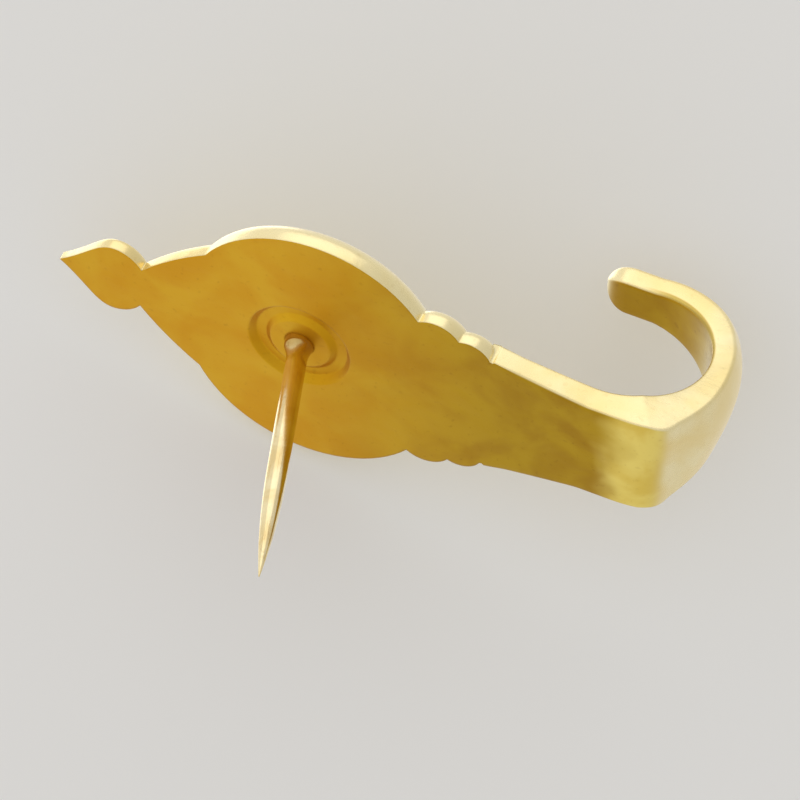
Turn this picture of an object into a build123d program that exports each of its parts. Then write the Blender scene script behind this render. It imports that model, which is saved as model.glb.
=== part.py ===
from build123d import *
import os
from math import cos, radians, sin

os.makedirs("parts", exist_ok=True)

# Pin hook: a cast gilt hook for pictures, with a steel pin set in its flat back, in millimetres.
# +Z is up, +Y goes into the wall, and the origin is where the pin's axis meets the flat back.

# Lengths of the ornament's members, from the tip down
leaf_length = 4.15
leaf_belly = 1.3
collar_length = 3.15
dome_length = 10.6
upper_bead_length = 2.05
lower_bead_length = 1.65
dome_above_pin = 4.9

# Half widths of the members and of the notches between them
leaf_half = 2.15
neck_half = 1.3
collar_half = 4.1
collar_rise = 0.2
dome_half = 7.4
waist_half = 4.8
bead_notch_half = 4.4
bead_end_half = 3.6
bead_rise = 0.45

# The ornament is half a turning, pressed flat to this share of its depth, on a rim
relief = 0.33
rim = 0.45

# Stem and hook
stem_length = 4.8
stem_in_beads = 0.3
stem_top_half = 3.85
stem_foot_half = 3.05
stem_top_thickness = 1.05
stem_thickness = 1.6
cradle_radius = 3.85
heel_thickness = 1.95
sole_thickness = 1.6
toe_thickness = 1.7
lip_thickness = 1.4
lip_half = 1.5
lip_length = 2.65
lip_round = 1.3
lip_close = 0.2
back_spare = 0.12
back_crown = 0.03
outer_crown = 0.3

# Pin, leaning towards the hook, and its staked seat
pin_radius = 0.5
pin_length = 13.5
pin_point = 5.0
point_mid = 1.9
point_mid_radius = 0.3
pin_tip_radius = 0.03
pin_lean = 15.5
root_radius = 0.7
root_depth = 2.2
root_stand = 0.25
root_taper = 0.35
seat_radius = 2.58
island_radius = 1.5
island_drop = 0.12
groove_depth = 0.36
groove_slope = 0.3

# Heights of the members
collar_z = dome_above_pin
neck_z = collar_z + collar_length
tip_z = neck_z + leaf_length
waist_z = dome_above_pin - dome_length
bead_notch_z = waist_z - upper_bead_length
bead_end_z = bead_notch_z - lower_bead_length
stem_foot_z = bead_end_z - stem_length
cradle_y = -stem_thickness - cradle_radius

# Leaf tip, collar, dome and two beads: a turned outline, pressed flat, cut in half and backed by a rim
with BuildPart() as ornament:
    with BuildSketch(Plane.YZ):
        with BuildLine():
            Spline(
                (0, tip_z),
                (leaf_half, neck_z + leaf_belly),
                (neck_half, neck_z),
                tangents=((leaf_half, leaf_belly - leaf_length), (-leaf_half, -leaf_belly)),
            )
            ThreePointArc(
                (neck_half, neck_z),
                ((neck_half + collar_half) / 2 + collar_rise, (neck_z + collar_z) / 2),
                (collar_half, collar_z),
            )
            ThreePointArc((collar_half, collar_z), (dome_half, (collar_z + waist_z) / 2), (waist_half, waist_z))
            ThreePointArc(
                (waist_half, waist_z),
                ((waist_half + bead_notch_half) / 2 + bead_rise, (waist_z + bead_notch_z) / 2),
                (bead_notch_half, bead_notch_z),
            )
            ThreePointArc(
                (bead_notch_half, bead_notch_z),
                ((bead_notch_half + bead_end_half) / 2 + bead_rise, (bead_notch_z + bead_end_z) / 2),
                (bead_end_half, bead_end_z),
            )
            Polyline((bead_end_half, bead_end_z), (0, bead_end_z), (0, tip_z))
        make_face()
    revolve(axis=Axis.Z)
    scale(by=(1, relief, 1))
    split(bisect_by=Plane.XZ, keep=Keep.TOP)
    extrude(faces().sort_by(Axis.Y)[-1], amount=rim)


def hook_section(turn, half, thickness, crown, rise=0, outside=0, lift=0):
    """Bar section across the hook's path, flat inside and raised by crown outside.

    turn goes from the stem, 0 degrees, round to the lip, 180. rise goes up the straight stretches,
    outside is added beyond the thickness, and lift holds the section's inner face off the cradle.
    """
    inward = (0, -cos(radians(turn)), sin(radians(turn)))
    along = (0, -sin(radians(turn)), -cos(radians(turn)))
    reach = cradle_radius + lift
    inner_point = (0, cradle_y - inward[1] * reach, stem_foot_z - inward[2] * reach + rise)
    outer = -thickness - outside
    with BuildSketch(Plane(origin=inner_point, x_dir=(1, 0, 0), z_dir=along)) as section:
        with BuildLine():
            ThreePointArc((-half, outer + crown), (0, outer), (half, outer + crown))
            Polyline((half, outer + crown), (half, 0), (-half, 0), (-half, outer + crown))
        make_face()
    return section.sketch


# Sections down the stem, round the bend and up the lip, which leans in and closes in a round end
sections = []
for share in (1, 0.66, 0.33, 0):
    rise = (stem_length + stem_in_beads) * share
    half = stem_foot_half + (stem_top_half - stem_foot_half) * rise / stem_length
    thickness = stem_thickness + (stem_top_thickness - stem_thickness) * rise / stem_length
    lift = stem_thickness - thickness
    sections.append(hook_section(0, half, thickness, back_crown, rise, back_spare, lift))
bend_thickness = (stem_thickness, heel_thickness, sole_thickness, toe_thickness, lip_thickness)
for eighth in range(1, 9):
    before = bend_thickness[(eighth - 1) // 2]
    after = bend_thickness[(eighth + 1) // 2]
    thickness = after if eighth % 2 == 0 else (before + after) / 2
    half = stem_foot_half + (lip_half - stem_foot_half) * eighth / 8
    crown = back_crown + (outer_crown * thickness - back_crown) * min(1, eighth / 4)
    lift = -lip_close * max(0, eighth - 4) / 4
    sections.append(hook_section(22.5 * eighth, half, thickness, crown, lift=lift))
for share in (0.25, 0.5, 0.72, 0.9, 0.985):
    rise = lip_length * share
    past = max(0, rise - lip_length + lip_round) / lip_round
    left = (1 - past**2) ** 0.5
    thickness = lip_thickness * left
    lift = (lip_thickness - thickness) / 2 - lip_close
    sections.append(hook_section(180, lip_half * left, thickness, outer_crown * thickness, rise, 0, lift))

# Stem and hook in one loft, cut flat at the stem's back
with BuildPart() as shank:
    loft(sections=sections)
    split(bisect_by=Plane.XZ, keep=Keep.TOP)

lean = radians(pin_lean)
pin_axis = Axis((0, 0, 0), (0, cos(lean), -sin(lean)))
pin_plane = Plane(origin=(0, 0, 0), x_dir=(0, -sin(lean), -cos(lean)), z_dir=(1, 0, 0))

# One cast body: ornament and shank joined, with the staked ring and the pin's blind hole in the back
with BuildPart() as hook_body:
    with Locations((0, -rim, 0)):
        add(ornament.part)
    add(shank.part)
    with BuildSketch(Plane.XY):
        with BuildLine():
            Polyline(
                (seat_radius, 0),
                (seat_radius - groove_slope, -groove_depth),
                (island_radius + groove_slope, -groove_depth),
                (island_radius, -island_drop),
                (0, -island_drop),
                (0, groove_depth),
                (seat_radius, groove_depth),
                (seat_radius, 0),
            )
        make_face()
    revolve(axis=Axis.Y, mode=Mode.SUBTRACT)
    with BuildSketch(pin_plane):
        with Locations((root_radius / 2, 0)):
            Rectangle(root_radius, 2 * root_depth)
    revolve(axis=pin_axis, mode=Mode.SUBTRACT)
hook_body.part.label = "hook_body"
export_step(hook_body.part, "parts/hook_body.step")

# Pin: a stout root in the body, a short taper, a plain shank and a long ground point
with BuildPart() as wall_pin:
    with BuildSketch(pin_plane):
        with BuildLine():
            Polyline(
                (0, pin_length),
                (0, -root_depth),
                (root_radius, -root_depth),
                (root_radius, root_stand),
                (pin_radius, root_stand + root_taper),
                (pin_radius, pin_length - pin_point),
                (point_mid_radius, pin_length - point_mid),
                (pin_tip_radius, pin_length),
                (0, pin_length),
            )
        make_face()
    revolve(axis=pin_axis)
wall_pin.part.label = "wall_pin"
export_step(wall_pin.part, "parts/wall_pin.step")
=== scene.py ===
"""Looks of the gilt pin hook: casting, swept hook, ground pin, two gilt finishes with painted shade,
reflection and glint, and soft light.
"""

import math

import bmesh
import bpy
from mathutils import Matrix, Vector


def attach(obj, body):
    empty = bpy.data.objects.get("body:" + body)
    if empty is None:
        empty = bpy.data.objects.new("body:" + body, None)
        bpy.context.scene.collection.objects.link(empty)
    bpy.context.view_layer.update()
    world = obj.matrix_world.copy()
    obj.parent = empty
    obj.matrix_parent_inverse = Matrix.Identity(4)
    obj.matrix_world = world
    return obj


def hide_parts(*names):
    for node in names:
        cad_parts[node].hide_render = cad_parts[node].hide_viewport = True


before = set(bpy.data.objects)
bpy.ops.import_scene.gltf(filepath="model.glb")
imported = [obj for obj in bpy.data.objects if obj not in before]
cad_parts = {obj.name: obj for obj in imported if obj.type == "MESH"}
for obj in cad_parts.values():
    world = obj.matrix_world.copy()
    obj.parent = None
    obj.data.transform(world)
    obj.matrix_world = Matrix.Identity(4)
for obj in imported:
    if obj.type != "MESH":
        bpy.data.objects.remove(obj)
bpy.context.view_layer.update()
scene = bpy.context.scene
MM = 0.001

# Pin, in millimetres and degrees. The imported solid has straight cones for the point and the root's
# taper, and here both are curves that keep to them closely.
PIN_LEAN = 15.5
PIN_LENGTH = 13.5
PIN_RADIUS = 0.5
POINT_LENGTH = 6.5
POINT_POWER = 2.3
TIP_RADIUS = 0.03
ROOT_RADIUS = 0.7
ROOT_DEPTH = 2.2
FLARE_START = 0.1
FLARE_END = 0.95
FLARE_POWER = 2.0
PIN_SIDES = 48
PIN_RINGS = 180

# Stem and hook of the casting, in millimetres, swept from these sizes below the cut
CUT_Z = -9.45
STEM_TOP_Z = -9.55
FOOT_Z = -14.2
CRADLE_Y = -5.3
CRADLE_RADIUS = 4.0
STEM_TOP_HALF = 3.85
STEM_HALF = 3.05
STEM_WIDTH_POWER = 1.1
STEM_TOP_THICKNESS = 1.05
STEM_THICKNESS = 1.3
LIP_HALF = 1.1
LIP_WIDTH_POWER = 0.9
LIP_CLOSE = 0.2
LIP_LENGTH = 2.6
LIP_ROUND = 1.25
CROWN_SHARE = 0.3
HEEL_BLEND = 1.2

# Rounded edges along the hook. At the stem's top they are nearly sharp, to meet the cut.
EDGE_RADIUS = 0.12
TOP_EDGE_RADIUS = 0.01
EDGE_RUN = 1.2
EDGE_LIMIT = 0.45

# Turns about the middle of the cradle, in degrees, from the stem, 0, round the bend to the lip
NARROWING_START = 30
HEEL_END = 60
CLOSING_START = 80
CROWN_TURNS = (35, 100)
LIP_TURN = 180

# Distance of the hook's outside from the middle of the cradle, by turn: heel, sole, toe and lip
OUTSIDE = ((0, 6.9), (24, 6.6), (35, 6.35), (46, 5.85), (69, 5.57), (90, 5.45), (114, 5.51), (136, 5.61),
           (158, 5.49), (LIP_TURN, 5.32))

# Stations along the sweep, and steps round each section. The lip's end stops just short of closing.
STEM_STATIONS = 24
BEND_STATIONS = 120
LIP_STATIONS = 12
END_STATIONS = 24
END_OPEN_STATIONS = 0.4
CORNER_STEPS = 4
OUTSIDE_STEPS = 24
INSIDE_STEPS = 12

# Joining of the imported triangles, in millimetres, and the angle in degrees past which an edge stays sharp
MERGE_DISTANCE = 0.0005
CUT_TOLERANCE = 0.00001
SHARP_ANGLE = 24

# The satin of the flat back, and the darker gold painted on it as shade, start and are full where a surface
# # faces the wall by these shares
BACK_FACING = (0.5, 0.99)

# Where the finishes and the painted shade, reflection and glint change, in millimetres. A pair is where a
# # change starts and ends: heights along Z, depths along Y, the bend's edge beyond the cradle's radius, and
# lengths
# # along the pin from its seat.
BACK_HEIGHTS = (-12.5, 3.0)
SEAT_RADIUS = 2.58
SEAT_EDGE = 0.1
SEAT_DEPTHS = (-1.2, -0.8)
HEEL_HEIGHTS = (-15.6, -13.5)
HEEL_DEPTHS = (-2.5, -1.5)
HEEL_WAVER = 2.0
BEND_HEIGHTS = (-15.2, -13.2)
BEND_EDGE = (0.02, 0.14)
ROOT_LENGTHS = (0.1, 1.3)
TUMBLED_EDGE = 0.16

# How far the painted shade takes the gold to its dark tone inside the bend and at the pin's root, from 0 to 1
BEND_SHADE = 0.85
ROOT_SHADE = 0.85

# The photograph's line of sight and its upward direction, in the part's own axes
TOWARD_CAMERA = Vector((-0.7877, 0.5838, -0.1967)).normalized()
IMAGE_UP = Vector((-0.6135, -0.7148, 0.3357))
IMAGE_RIGHT = IMAGE_UP.cross(TOWARD_CAMERA).normalized()
IMAGE_UP = TOWARD_CAMERA.cross(IMAGE_RIGHT)

# Camera: lens and sensor in millimetres, share of the picture that the object fills, and clips in metres
LENS = 300
SENSOR_WIDTH = 36
FILL = 0.86
CLIP_START = 0.01
CLIP_END = 10

# Pale floor, in metres: half its side, and its gap behind the object's farthest point
FLOOR_HALF = 0.4
FLOOR_GAP = 0.0003

# Light of the studio dome by height, 0 straight below and 1 straight above
DOME = (
    (0.1, (0.66, 0.655, 0.645, 1)),
    (0.5, (0.81, 0.805, 0.795, 1)),
    (0.85, (0.93, 0.93, 0.94, 1)),
)


def feed(tree, socket, value):
    """Links another node's output to a socket, or sets the socket to a plain value."""
    if isinstance(value, bpy.types.NodeSocket):
        tree.links.new(value, socket)
    else:
        socket.default_value = value


def add_node(tree, kind, x, y, **values):
    """New node at x, y. Names in small letters are its settings, and names with a capital its inputs."""
    node = tree.nodes.new(kind)
    node.location = (x, y)
    for name, value in values.items():
        if name.islower():
            setattr(node, name, value)
        else:
            feed(tree, node.inputs[name.replace("_", " ")], value)
    return node


def add_math(tree, x, y, operation, *values):
    node = add_node(tree, "ShaderNodeMath", x, y, operation=operation)
    for socket, value in zip(node.inputs, values):
        feed(tree, socket, value)
    return node.outputs["Value"]


def add_vector_math(tree, x, y, operation, *values):
    node = add_node(tree, "ShaderNodeVectorMath", x, y, operation=operation)
    for socket, value in zip(node.inputs, values):
        feed(tree, socket, value)
    return node.outputs


def add_fade(tree, x, y, value, start, end, first=0.0, last=1.0, kind="SMOOTHSTEP"):
    """Goes from first to last while the value goes from start to end."""
    node = add_node(tree, "ShaderNodeMapRange", x, y, interpolation_type=kind, Value=value,
                    From_Min=start, From_Max=end, To_Min=first, To_Max=last)
    return node.outputs["Result"]


def add_mix(tree, x, y, factor, first, second, blend="MIX"):
    node = add_node(tree, "ShaderNodeMix", x, y, data_type="RGBA", blend_type=blend,
                    Factor=factor, A=first, B=second)
    return node.outputs["Result"]


def distance_from_axis(tree, x, y, place, middle, across):
    """Distance from the line through middle, measured only along the axes that across keeps."""
    moved = add_vector_math(tree, x, y, "SUBTRACT", place, middle)["Vector"]
    flat = add_vector_math(tree, x + 200, y, "MULTIPLY", moved, across)["Vector"]
    return add_vector_math(tree, x + 400, y, "LENGTH", flat)["Value"]


def new_group(name, inputs, outputs):
    tree = bpy.data.node_groups.new(name, "ShaderNodeTree")
    for label, kind, value in inputs:
        socket = tree.interface.new_socket(label, in_out="INPUT", socket_type=kind)
        if value is not None:
            socket.default_value = value
    for label, kind in outputs:
        tree.interface.new_socket(label, in_out="OUTPUT", socket_type=kind)
    given = add_node(tree, "NodeGroupInput", -900, 0).outputs
    result = add_node(tree, "NodeGroupOutput", 700, 0).inputs
    return tree, given, result


def make_cast_waviness():
    """Soft unevenness that a tumbled casting keeps under its plating."""
    tree, given, result = new_group(
        "cast_waviness",
        [
            ("Place", "NodeSocketVector", None),
            ("Broad Size", "NodeSocketFloat", 0.45),
            ("Fine Size", "NodeSocketFloat", 2.6),
            ("Fine Share", "NodeSocketFloat", 0.25),
        ],
        [("Height", "NodeSocketFloat"), ("Cloud", "NodeSocketFloat")],
    )
    broad = add_node(tree, "ShaderNodeTexNoise", -600, 200, Vector=given["Place"], Scale=given["Broad Size"],
                     Detail=2.0, Roughness=0.5, Distortion=0.3).outputs["Fac"]
    fine = add_node(tree, "ShaderNodeTexNoise", -600, -100, Vector=given["Place"], Scale=given["Fine Size"],
                    Detail=3.0, Roughness=0.55).outputs["Fac"]
    feed(tree, result["Height"], add_math(tree, 0, 100, "MULTIPLY_ADD", fine, given["Fine Share"], broad))
    feed(tree, result["Cloud"], broad)
    return tree


def make_handling_marks():
    """Fine hairlines left by handling and polishing, as a mask that is 1 on a line."""
    tree, given, result = new_group(
        "handling_marks",
        [
            ("Place", "NodeSocketVector", None),
            ("Stretch", "NodeSocketVector", (9.0, 9.0, 0.5)),
            ("Amount", "NodeSocketFloat", 0.5),
        ],
        [("Lines", "NodeSocketFloat")],
    )
    stretched = add_vector_math(tree, -650, 100, "MULTIPLY", given["Place"], given["Stretch"])["Vector"]
    lines = add_node(tree, "ShaderNodeTexNoise", -420, 100, Vector=stretched, Scale=1.0, Detail=4.0,
                     Roughness=0.7, Distortion=0.1).outputs["Fac"]
    sharp = add_fade(tree, -180, 100, lines, 0.52, 0.7)
    patches = add_node(tree, "ShaderNodeTexNoise", -420, -200, Vector=given["Place"], Scale=0.3,
                       Detail=1.0).outputs["Fac"]
    worn = add_fade(tree, -180, -200, patches, 0.35, 0.7)
    both = add_math(tree, 100, 0, "MULTIPLY", sharp, worn)
    feed(tree, result["Lines"], add_math(tree, 320, 0, "MULTIPLY", both, given["Amount"]))
    return tree


def make_plating_tone():
    """Gilt colour that drifts between a pale and a deep tone, with specks where the plating is thin."""
    tree, given, result = new_group(
        "plating_tone",
        [
            ("Place", "NodeSocketVector", None),
            ("Pale", "NodeSocketColor", (0.9, 0.72, 0.32, 1)),
            ("Deep", "NodeSocketColor", (0.6, 0.38, 0.08, 1)),
            ("Patch Size", "NodeSocketFloat", 0.5),
            ("Speck", "NodeSocketFloat", 0.3),
        ],
        [("Color", "NodeSocketColor")],
    )
    patches = add_node(tree, "ShaderNodeTexNoise", -600, 200, Vector=given["Place"],
                       Scale=given["Patch Size"], Detail=3.0, Roughness=0.55, Distortion=0.4).outputs["Fac"]
    spread = add_fade(tree, -380, 200, patches, 0.36, 0.64)
    tone = add_mix(tree, -100, 200, spread, given["Pale"], given["Deep"])
    specks = add_node(tree, "ShaderNodeTexNoise", -600, -150, Vector=given["Place"], Scale=3.4,
                      Detail=2.0).outputs["Fac"]
    few = add_fade(tree, -380, -150, specks, 0.6, 0.76)
    dull = add_math(tree, -150, -150, "MULTIPLY", few, given["Speck"])
    feed(tree, result["Color"], add_mix(tree, 250, 100, dull, tone, (0.62, 0.5, 0.34, 1), "MULTIPLY"))
    return tree


cast_waviness = make_cast_waviness()
handling_marks = make_handling_marks()
plating_tone = make_plating_tone()


def use_group(tree, group, x, y, place, **values):
    return add_node(tree, "ShaderNodeGroup", x, y, node_tree=group, Place=place, **values).outputs


def new_material(name):
    material = bpy.data.materials.new(name)
    material.use_nodes = True
    tree = material.node_tree
    tree.nodes.clear()
    shader = add_node(tree, "ShaderNodeBsdfPrincipled", 900, 0, Metallic=1.0)
    add_node(tree, "ShaderNodeOutputMaterial", 1250, 0, Surface=shader.outputs["BSDF"])
    return material, tree, shader.inputs


def place_in_mm(tree, x, y, turn=0.0):
    """Surface direction, and object coordinates in millimetres turned so that a slanted axis lies along Z."""
    coordinates = add_node(tree, "ShaderNodeTexCoord", x, y).outputs
    mapping = add_node(tree, "ShaderNodeMapping", x + 220, y, Vector=coordinates["Object"],
                       Rotation=(turn, 0, 0), Scale=(1 / MM, 1 / MM, 1 / MM))
    return coordinates["Normal"], mapping.outputs["Vector"]


def back_mask(tree, normal, place, depth):
    """1 on the flat back, which faces the wall, and on the slopes of the seat's groove, sunk in it: where the
    back's rougher finish and its painted shade go.
    """
    facing = add_node(tree, "ShaderNodeSeparateXYZ", -1500, 500, Vector=normal).outputs["Y"]
    back = add_fade(tree, -1280, 500, facing, *BACK_FACING)
    radius = distance_from_axis(tree, -1700, 1100, place, (0, 0, 0), (1, 0, 1))
    inside = add_fade(tree, -1060, 1100, radius, SEAT_RADIUS, SEAT_RADIUS + SEAT_EDGE, 1.0, 0.0, "LINEAR")
    shallow = add_fade(tree, -1060, 800, depth, *SEAT_DEPTHS, kind="LINEAR")
    seat = add_math(tree, -840, 950, "MULTIPLY", inside, shallow)
    return add_math(tree, -640, 700, "MAXIMUM", back, seat)


def back_gold(tree, place, depth, height, cloud):
    """Back gold painted darker as shade, brightened from stem to tip as a painted reflection, with a painted
    heel glint.
    """
    # Painted shade: both golds of the back are darker than the polished front's
    low = use_group(tree, plating_tone, -700, 0, place, Patch_Size=0.3, Speck=0.35,
                    Pale=(0.46, 0.285, 0.012, 1), Deep=(0.38, 0.21, 0.008, 1))["Color"]
    high = use_group(tree, plating_tone, -700, -300, place, Patch_Size=0.24, Speck=0.25,
                     Pale=(0.69, 0.39, 0.018, 1), Deep=(0.65, 0.32, 0.009, 1))["Color"]
    # Painted glint: a pale gold laid on the heel's corner
    painted_heel_glint = use_group(tree, plating_tone, -700, 600, place, Patch_Size=0.4, Speck=0.2,
                       Pale=(0.84, 0.67, 0.17, 1), Deep=(0.75, 0.55, 0.10, 1))["Color"]
    # Painted reflection: the back's gold brightens from the stem up towards the tip
    reflection_climb = add_fade(tree, -1000, 200, height, *BACK_HEIGHTS)
    painted_shade_satin = add_mix(tree, -350, -100, reflection_climb, low, high)

    # The cloud makes the border of the painted heel glint uneven
    border = add_math(tree, -1000, 500, "MULTIPLY_ADD", cloud, HEEL_WAVER, height)
    under = add_fade(tree, -800, 500, border, *HEEL_HEIGHTS, 1.0, 0.0)
    behind = add_fade(tree, -800, 700, depth, *HEEL_DEPTHS)
    heel = add_math(tree, -600, 600, "MULTIPLY", under, behind)
    return add_mix(tree, -200, -100, heel, painted_shade_satin, painted_heel_glint)


def front_gold(tree, place, height):
    """Polished gold, darkened inside the bend by painted shade."""
    polished = use_group(tree, plating_tone, -700, 300, place, Patch_Size=0.22, Speck=0.15,
                         Pale=(0.93, 0.80, 0.45, 1), Deep=(0.89, 0.71, 0.32, 1))["Color"]
    painted_bend_shade = use_group(tree, plating_tone, -700, 900, place, Patch_Size=0.3, Speck=0.3,
                       Pale=(0.52, 0.37, 0.06, 1), Deep=(0.42, 0.28, 0.035, 1))["Color"]
    away = distance_from_axis(tree, -1500, 1400, place, (0, CRADLE_Y, FOOT_Z), (0, 1, 1))
    edge_start, edge_end = (CRADLE_RADIUS + edge for edge in BEND_EDGE)
    inside = add_fade(tree, -840, 1400, away, edge_start, edge_end, BEND_SHADE, 0.0)
    below = add_fade(tree, -840, 1200, height, *BEND_HEIGHTS, 1.0, 0.0)
    # Painted shade darkens the gold in the bend's hollow
    hollow = add_math(tree, -620, 1300, "MULTIPLY", inside, below)
    return add_mix(tree, -350, 400, hollow, polished, painted_bend_shade)


def make_gilt_body():
    """Bright gilt casting with a rougher back painted a darker gold as shade, and edges rounded by tumbling.
    """
    material, tree, shader = new_material("gilt_body_finish")
    normal, place = place_in_mm(tree, -2100, 0)
    position = add_node(tree, "ShaderNodeSeparateXYZ", -1500, 800, Vector=place).outputs
    depth, height = position["Y"], position["Z"]
    marks = use_group(tree, handling_marks, -700, -600, place, Stretch=(7.0, 7.0, 0.6), Amount=0.6)
    waves = use_group(tree, cast_waviness, -1300, -900, place, Broad_Size=0.5, Fine_Size=2.4, Fine_Share=0.22)

    satin_and_shade_part = back_mask(tree, normal, place, depth)
    front = front_gold(tree, place, height)
    back = back_gold(tree, place, depth, height, waves["Cloud"])
    # The back takes its darker gold here as painted shade; its satin is real and sits in the roughness below
    feed(tree, shader["Base Color"], add_mix(tree, -50, 200, satin_and_shade_part, front, back))

    # Roughness: satin behind, polished in front, duller along the hairlines and in the clouds
    sheen = add_fade(tree, -350, -450, satin_and_shade_part, 0.0, 1.0, 0.2, 0.36, "LINEAR")
    dulled = add_math(tree, -100, -450, "MULTIPLY_ADD", marks["Lines"], 0.12, sheen)
    feed(tree, shader["Roughness"], add_math(tree, 130, -450, "MULTIPLY_ADD", waves["Cloud"], 0.12, dulled))

    # Relief: rounded edges, hairlines and soft waves
    rounded = add_node(tree, "ShaderNodeBevel", -100, -1100, samples=6, Radius=TUMBLED_EDGE * MM)
    scratched = add_node(tree, "ShaderNodeBump", 200, -900, invert=True, Strength=0.25, Distance=0.01 * MM,
                         Height=marks["Lines"], Normal=rounded.outputs["Normal"])
    waved = add_node(tree, "ShaderNodeBump", 500, -800, Strength=0.5, Distance=0.06 * MM,
                     Height=waves["Height"], Normal=scratched.outputs["Normal"])
    feed(tree, shader["Normal"], waved.outputs["Normal"])
    return material


def make_gilt_pin():
    """Bright plated wire with drawn lines along it, and painted shade darkening the gold at its root, by the
    seat.
    """
    material, tree, shader = new_material("gilt_pin_finish")
    place = place_in_mm(tree, -1900, 0, math.radians(90 + PIN_LEAN))[1]
    along = add_node(tree, "ShaderNodeSeparateXYZ", -700, 600, Vector=place).outputs["Z"]
    tone = use_group(tree, plating_tone, -700, 300, place, Patch_Size=0.5, Speck=0.2,
                     Pale=(0.92, 0.79, 0.48, 1), Deep=(0.8, 0.62, 0.3, 1))["Color"]
    drawn = use_group(tree, handling_marks, -700, 0, place, Stretch=(14.0, 14.0, 0.35), Amount=0.9)["Lines"]
    waves = use_group(tree, cast_waviness, -700, -300, place, Broad_Size=0.8, Fine_Size=5.0, Fine_Share=0.2)

    streaked = add_mix(tree, -200, 250, drawn, tone, (0.74, 0.62, 0.5, 1), "MULTIPLY")
    # Painted shade darkens the pin's gold near the seat, where it meets the casting
    pin_root_shade = add_fade(tree, -450, 600, along, *ROOT_LENGTHS, ROOT_SHADE, 0.0)
    gold = add_mix(tree, 100, 350, pin_root_shade, streaked, (0.62, 0.47, 0.2, 1), "MULTIPLY")
    feed(tree, shader["Base Color"], gold)
    feed(tree, shader["Roughness"], add_fade(tree, -200, -100, drawn, 0.0, 1.0, 0.17, 0.34, "LINEAR"))

    lines = add_node(tree, "ShaderNodeBump", 150, -300, invert=True, Strength=0.3, Distance=0.008 * MM,
                     Height=drawn)
    uneven = add_node(tree, "ShaderNodeBump", 450, -400, Strength=0.3, Distance=0.02 * MM,
                      Height=waves["Height"], Normal=lines.outputs["Normal"])
    feed(tree, shader["Normal"], uneven.outputs["Normal"])
    return material


gilt_body = make_gilt_body()
gilt_pin = make_gilt_pin()


def smooth_step(start, end, value):
    share = min(1, max(0, (value - start) / (end - start)))
    return share * share * (3 - 2 * share)


def soft_min(first, second, blend):
    """The lesser of two values, with a soft change from one to the other."""
    share = min(1, max(0, 0.5 + 0.5 * (second - first) / blend))
    return second + (first - second) * share - blend * share * (1 - share)


def through(points, value):
    """Height at value of the smooth curve through the points."""
    slopes = []
    for index in range(len(points)):
        before = points[max(0, index - 1)]
        after = points[min(len(points) - 1, index + 1)]
        slopes.append((after[1] - before[1]) / (after[0] - before[0]))
    index = 0
    while index < len(points) - 2 and value > points[index + 1][0]:
        index += 1
    (x0, y0), (x1, y1) = points[index], points[index + 1]
    step = x1 - x0
    t = (value - x0) / step
    level = y0 + (y1 - y0) * (3 * t * t - 2 * t**3)
    return level + step * (slopes[index] * (t - 2 * t * t + t**3) + slopes[index + 1] * (t**3 - t * t))


def round_corner(across, outward, edge, start):
    """Points round a corner of radius edge, a quarter turn back from the angle start."""
    angles = [math.radians(start - 90 * step / CORNER_STEPS) for step in range(CORNER_STEPS + 1)]
    return [(across + edge * math.cos(angle), outward + edge * math.sin(angle)) for angle in angles]


def bar_section(half, thickness, crown, edge):
    """Points round a bar, as (across, outward from its inner face), with a crowned outside."""
    side = thickness - crown
    edge = min(edge, half * EDGE_LIMIT, side * EDGE_LIMIT)
    flat = half - edge
    points = round_corner(-flat, edge, edge, 270) + round_corner(-flat, side - edge, edge, 180)
    points += [(-flat + 2 * flat * step / OUTSIDE_STEPS, side) for step in range(1, OUTSIDE_STEPS)]
    points += round_corner(flat, side - edge, edge, 90) + round_corner(flat, edge, edge, 360)
    points += [(flat - 2 * flat * step / INSIDE_STEPS, 0) for step in range(1, INSIDE_STEPS)]
    raised = []
    for across, outward in points:
        lift = crown * (1 - (across / half) ** 2) * outward / side
        raised.append((across, outward + lift))
    return raised


def stem_stations():
    """Down the stem. A station is the place of a section's inner face and its outward direction, both
    as (y, z), and the section's points.
    """
    stations = []
    for step in range(STEM_STATIONS):
        climbed = 1 - step / STEM_STATIONS
        z = FOOT_Z + (STEM_TOP_Z - FOOT_Z) * climbed
        thickness = STEM_THICKNESS + (STEM_TOP_THICKNESS - STEM_THICKNESS) * climbed
        half = STEM_HALF + (STEM_TOP_HALF - STEM_HALF) * climbed**STEM_WIDTH_POWER
        edge = TOP_EDGE_RADIUS + EDGE_RADIUS * smooth_step(0, EDGE_RUN, STEM_TOP_Z - z)
        stations.append(((-thickness, z), (1, 0), bar_section(half, thickness, 0, edge)))
    return stations


def bend_stations():
    """Round the bend, flat behind as far as the heel and narrowing to the lip."""
    stations = []
    for step in range(BEND_STATIONS + 1):
        turn = LIP_TURN * step / BEND_STATIONS
        angle = math.radians(turn)
        direction = (math.cos(angle), -math.sin(angle))
        inner = CRADLE_RADIUS - LIP_CLOSE * smooth_step(CLOSING_START, LIP_TURN, turn)
        outer = through(OUTSIDE, turn)
        if turn < HEEL_END:
            outer = soft_min(-CRADLE_Y / direction[0], outer, HEEL_BLEND)
        narrowed = max(0, turn - NARROWING_START) / (LIP_TURN - NARROWING_START)
        half = STEM_HALF + (LIP_HALF - STEM_HALF) * narrowed**LIP_WIDTH_POWER
        crown = CROWN_SHARE * (outer - inner) * smooth_step(*CROWN_TURNS, turn)
        place = (CRADLE_Y + inner * direction[0], FOOT_Z + inner * direction[1])
        stations.append((place, direction, bar_section(half, outer - inner, crown, EDGE_RADIUS)))
    return stations


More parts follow.
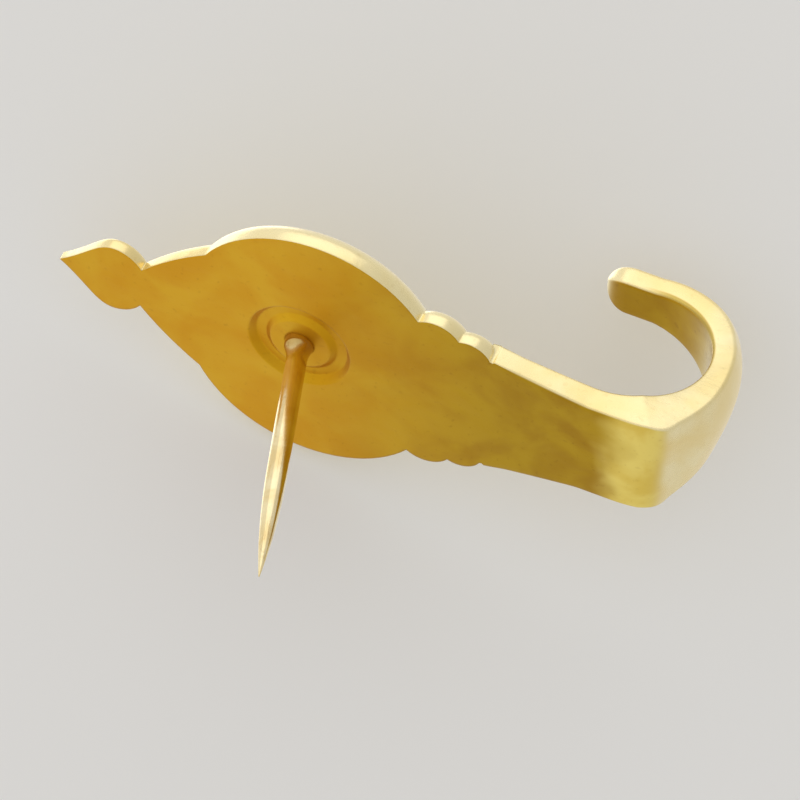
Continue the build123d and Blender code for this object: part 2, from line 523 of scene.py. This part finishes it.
def lip_stations():
    """Straight up the lip and over its round end."""
    inner = CRADLE_RADIUS - LIP_CLOSE
    thickness = OUTSIDE[-1][1] - inner
    straight = LIP_LENGTH - LIP_ROUND
    shares = [(straight * step / LIP_STATIONS, 1) for step in range(1, LIP_STATIONS + 1)]
    for step in range(1, END_STATIONS + 1):
        angle = math.radians(90 * step / (END_STATIONS + END_OPEN_STATIONS))
        shares.append((straight + LIP_ROUND * math.sin(angle), math.cos(angle)))
    stations = []
    for rise, left in shares:
        thin = thickness * left
        place = (CRADLE_Y - inner - (thickness - thin) / 2, FOOT_Z + rise)
        stations.append((place, (-1, 0), bar_section(LIP_HALF * left, thin, CROWN_SHARE * thin, EDGE_RADIUS)))
    return stations


def sweep_hook(work, rim):
    """Adds the stem and hook to a mesh as one skin through its stations, joined to the rim of the cut."""
    rings = []
    for (y, z), (out_y, out_z), section in stem_stations() + bend_stations() + lip_stations():
        rings.append([work.verts.new(Vector((x, y + out_y * d, z + out_z * d)) * MM) for x, d in section])
    for ring, after in zip(rings, rings[1:]):
        for index in range(len(ring)):
            other = (index + 1) % len(ring)
            work.faces.new((ring[index], ring[other], after[other], after[index]))
    work.faces.new(rings[-1])
    top = [work.edges.get((first, second)) for first, second in zip(rings[0], rings[0][1:] + rings[0][:1])]
    bmesh.ops.bridge_loops(work, edges=rim + top)


def dress_body():
    """The casting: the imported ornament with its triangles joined, and below its beads the swept hook."""
    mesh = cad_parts["hook_body"].data.copy()
    mesh.name = "hook_casting"
    work = bmesh.new()
    work.from_mesh(mesh)
    bmesh.ops.remove_doubles(work, verts=work.verts, dist=MERGE_DISTANCE * MM)
    everything = work.verts[:] + work.edges[:] + work.faces[:]
    bmesh.ops.bisect_plane(work, geom=everything, dist=CUT_TOLERANCE * MM, plane_co=(0, 0, CUT_Z * MM),
                           plane_no=(0, 0, -1), clear_outer=True)
    rim = [edge for edge in work.edges if edge.is_boundary]
    sweep_hook(work, rim)
    bmesh.ops.recalc_face_normals(work, faces=work.faces)
    for edge in work.edges:
        edge.smooth = len(edge.link_faces) == 2 and edge.calc_face_angle() < math.radians(SHARP_ANGLE)
    for face in work.faces:
        face.smooth = True
    work.to_mesh(mesh)
    work.free()
    mesh.materials.clear()
    mesh.materials.append(gilt_body)
    casting = bpy.data.objects.new("hook_casting", mesh)
    scene.collection.objects.link(casting)
    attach(casting, "root")
    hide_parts("hook_body")
    return casting


def make_pin_rule():
    """Geometry nodes: a round bar whose radius follows the root's flare and the long ground point."""
    tree = bpy.data.node_groups.new("ground_pin", "GeometryNodeTree")
    for label, size in (
        ("Length", PIN_LENGTH),
        ("Radius", PIN_RADIUS),
        ("Point", POINT_LENGTH),
        ("Tip Radius", TIP_RADIUS),
        ("Root Radius", ROOT_RADIUS),
        ("Root Depth", ROOT_DEPTH),
        ("Flare Start", FLARE_START),
        ("Flare End", FLARE_END),
    ):
        socket = tree.interface.new_socket(label, in_out="INPUT", socket_type="NodeSocketFloat")
        socket.default_value = size * MM
    tree.interface.new_socket("Lean", in_out="INPUT", socket_type="NodeSocketVector")
    tree.interface.new_socket("Finish", in_out="INPUT", socket_type="NodeSocketMaterial")
    tree.interface.new_socket("Geometry", in_out="OUTPUT", socket_type="NodeSocketGeometry")
    given = add_node(tree, "NodeGroupInput", -1400, 0).outputs
    result = add_node(tree, "NodeGroupOutput", 1400, 0).inputs

    # A bar of unit size, and each point's place along the pin from its seat
    bar = add_node(tree, "GeometryNodeMeshCylinder", -1000, 400, fill_type="NGON", Vertices=PIN_SIDES,
                   Side_Segments=PIN_RINGS, Radius=1.0, Depth=1.0)
    position = add_node(tree, "GeometryNodeInputPosition", -1400, -300)
    unit = add_node(tree, "ShaderNodeSeparateXYZ", -1200, -300, Vector=position.outputs[0]).outputs
    share = add_math(tree, -1000, -300, "ADD", unit["Z"], 0.5)
    whole = add_math(tree, -1000, -100, "ADD", given["Length"], given["Root Depth"])
    from_end = add_math(tree, -800, -200, "MULTIPLY", share, whole)
    along = add_math(tree, -600, -200, "SUBTRACT", from_end, given["Root Depth"])

    # The ground point
    start = add_math(tree, -800, -400, "SUBTRACT", given["Length"], given["Point"])
    beyond = add_math(tree, -600, -400, "SUBTRACT", along, start)
    past = add_math(tree, -400, -400, "MAXIMUM", beyond, 0.0)
    past_share = add_math(tree, -200, -400, "DIVIDE", past, given["Point"])
    ground = add_math(tree, 0, -400, "POWER", past_share, POINT_POWER)
    drop = add_math(tree, -200, -600, "SUBTRACT", given["Radius"], given["Tip Radius"])
    taken = add_math(tree, 150, -500, "MULTIPLY", ground, drop)
    pointed = add_math(tree, 300, -400, "SUBTRACT", given["Radius"], taken)

    # The hollow flare at the root
    flare = add_fade(tree, -400, -800, along, given["Flare Start"], given["Flare End"], 1.0, 0.0, "LINEAR")
    hollow = add_math(tree, -100, -800, "POWER", flare, FLARE_POWER)
    extra = add_math(tree, -200, -1000, "SUBTRACT", given["Root Radius"], given["Radius"])
    added = add_math(tree, 150, -900, "MULTIPLY", hollow, extra)
    radius = add_math(tree, 500, -500, "ADD", pointed, added)

    # The bar at its real size, leaned towards the hook
    placed_x = add_math(tree, 600, -100, "MULTIPLY", unit["X"], radius)
    placed_y = add_math(tree, 600, -300, "MULTIPLY", unit["Y"], radius)
    placed = add_node(tree, "ShaderNodeCombineXYZ", 700, -200, X=placed_x, Y=placed_y, Z=along)
    shaped = add_node(tree, "GeometryNodeSetPosition", 850, 200, Geometry=bar.outputs["Mesh"],
                      Position=placed.outputs[0])
    leaned = add_node(tree, "GeometryNodeTransform", 1000, 200, Geometry=shaped.outputs[0],
                      Rotation=given["Lean"])
    smooth = add_node(tree, "GeometryNodeSetShadeSmooth", 1100, 100, Geometry=leaned.outputs[0])
    real = add_node(tree, "GeometryNodeRealizeInstances", 1200, 0, Geometry=smooth.outputs[0])
    dressed = add_node(tree, "GeometryNodeSetMaterial", 1300, -100, Geometry=real.outputs[0],
                       Material=given["Finish"])
    feed(tree, result["Geometry"], dressed.outputs[0])
    return tree


def make_pin():
    tree = make_pin_rule()
    names = {item.name: item.identifier for item in tree.interface.items_tree if item.in_out == "INPUT"}
    maker = bpy.data.objects.new("pin_maker", bpy.data.meshes.new("pin_maker"))
    scene.collection.objects.link(maker)
    modifier = maker.modifiers.new("ground_pin", "NODES")
    modifier.node_group = tree
    modifier[names["Lean"]] = (math.radians(-90 - PIN_LEAN), 0.0, 0.0)
    modifier[names["Finish"]] = gilt_pin
    graph = bpy.context.evaluated_depsgraph_get()
    mesh = bpy.data.meshes.new_from_object(maker.evaluated_get(graph))
    mesh.name = "ground_pin"
    maker.modifiers.remove(modifier)
    bpy.data.objects.remove(maker)
    pin = bpy.data.objects.new("ground_pin", mesh)
    scene.collection.objects.link(pin)
    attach(pin, "root")
    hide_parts("wall_pin")
    return pin


casting = dress_body()
pin = make_pin()


def reach(direction):
    """Lowest and highest of the object's points along a direction."""
    values = [direction.dot(v.co) for piece in (casting, pin) for v in piece.data.vertices]
    return min(values), max(values)


left, right = reach(IMAGE_RIGHT)
low, high = reach(IMAGE_UP)
far, near = reach(TOWARD_CAMERA)
middle = IMAGE_RIGHT * (left + right) / 2 + IMAGE_UP * (low + high) / 2 + TOWARD_CAMERA * (far + near) / 2
turned = Matrix((IMAGE_RIGHT, IMAGE_UP, TOWARD_CAMERA)).transposed().to_4x4()


def make_camera():
    data = bpy.data.cameras.new("camera")
    data.lens = LENS
    data.sensor_width = SENSOR_WIDTH
    data.dof.use_dof = False
    data.clip_start = CLIP_START
    data.clip_end = CLIP_END
    distance = max(right - left, high - low) / FILL * LENS / SENSOR_WIDTH
    camera = bpy.data.objects.new("camera", data)
    camera.matrix_world = Matrix.Translation(middle + TOWARD_CAMERA * distance) @ turned
    scene.collection.objects.link(camera)
    scene.camera = camera


def make_floor():
    """Pale floor under the hook, seen only from its front, that neither lights nor shades the gold."""
    material = bpy.data.materials.new("pale_card")
    material.use_nodes = True
    tree = material.node_tree
    tree.nodes.clear()
    paper = add_node(tree, "ShaderNodeBsdfDiffuse", 0, 100, Color=(0.84, 0.83, 0.81, 1))
    clear = add_node(tree, "ShaderNodeBsdfTransparent", 0, -100)
    side = add_node(tree, "ShaderNodeNewGeometry", -250, 300)
    seen = add_node(tree, "ShaderNodeMixShader", 250, 0, Fac=side.outputs["Backfacing"])
    tree.links.new(paper.outputs[0], seen.inputs[1])
    tree.links.new(clear.outputs[0], seen.inputs[2])
    add_node(tree, "ShaderNodeOutputMaterial", 450, 0, Surface=seen.outputs[0])
    corners = []
    for across, upward in ((-1, -1), (1, -1), (1, 1), (-1, 1)):
        flat = IMAGE_RIGHT * (across * FLOOR_HALF) + IMAGE_UP * (upward * FLOOR_HALF)
        corners.append(flat + TOWARD_CAMERA * (far - FLOOR_GAP))
    mesh = bpy.data.meshes.new("pale_card")
    mesh.from_pydata(corners, [], [(0, 1, 2, 3)])
    mesh.materials.append(material)
    card = bpy.data.objects.new("pale_card", mesh)
    card.visible_glossy = False
    card.visible_diffuse = False
    card.visible_shadow = False
    scene.collection.objects.link(card)


def make_lamp(name, direction, distance, size, power):
    data = bpy.data.lights.new(name, "AREA")
    data.shape = "SQUARE"
    data.size = size
    data.energy = power
    lamp = bpy.data.objects.new(name, data)
    lamp.location = middle + direction.normalized() * distance
    lamp.rotation_mode = "QUATERNION"
    lamp.rotation_quaternion = direction.to_track_quat("Z", "Y")
    scene.collection.objects.link(lamp)


def make_world():
    """Soft studio dome, paler overhead than below."""
    world = bpy.data.worlds.new("studio_dome")
    world.use_nodes = True
    tree = world.node_tree
    tree.nodes.clear()
    coordinates = add_node(tree, "ShaderNodeTexCoord", -900, 0)
    parts = add_node(tree, "ShaderNodeSeparateXYZ", -700, 0, Vector=coordinates.outputs["Generated"])
    height = add_fade(tree, -500, 0, parts.outputs["Z"], -1.0, 1.0, kind="LINEAR")
    ramp = add_node(tree, "ShaderNodeValToRGB", -300, 0, Fac=height)
    stops = ramp.color_ramp.elements
    stops.new(DOME[1][0])
    for stop, (level, colour) in zip(stops, DOME):
        stop.position = level
        stop.color = colour
    light = add_node(tree, "ShaderNodeBackground", 0, 0, Color=ramp.outputs["Color"])
    add_node(tree, "ShaderNodeOutputWorld", 250, 0, Surface=light.outputs[0])
    scene.world = world


make_camera()
make_floor()
make_world()
window_side = IMAGE_UP * 0.95 + TOWARD_CAMERA * 0.3 + IMAGE_RIGHT * 0.05
front_side = Vector((0.5, -0.75, 0.7))
make_lamp("window", window_side, distance=0.4, size=0.4, power=0.22)
make_lamp("front_fill", front_side, distance=0.45, size=0.3, power=0.25)
scene.view_settings.view_transform = "Standard"
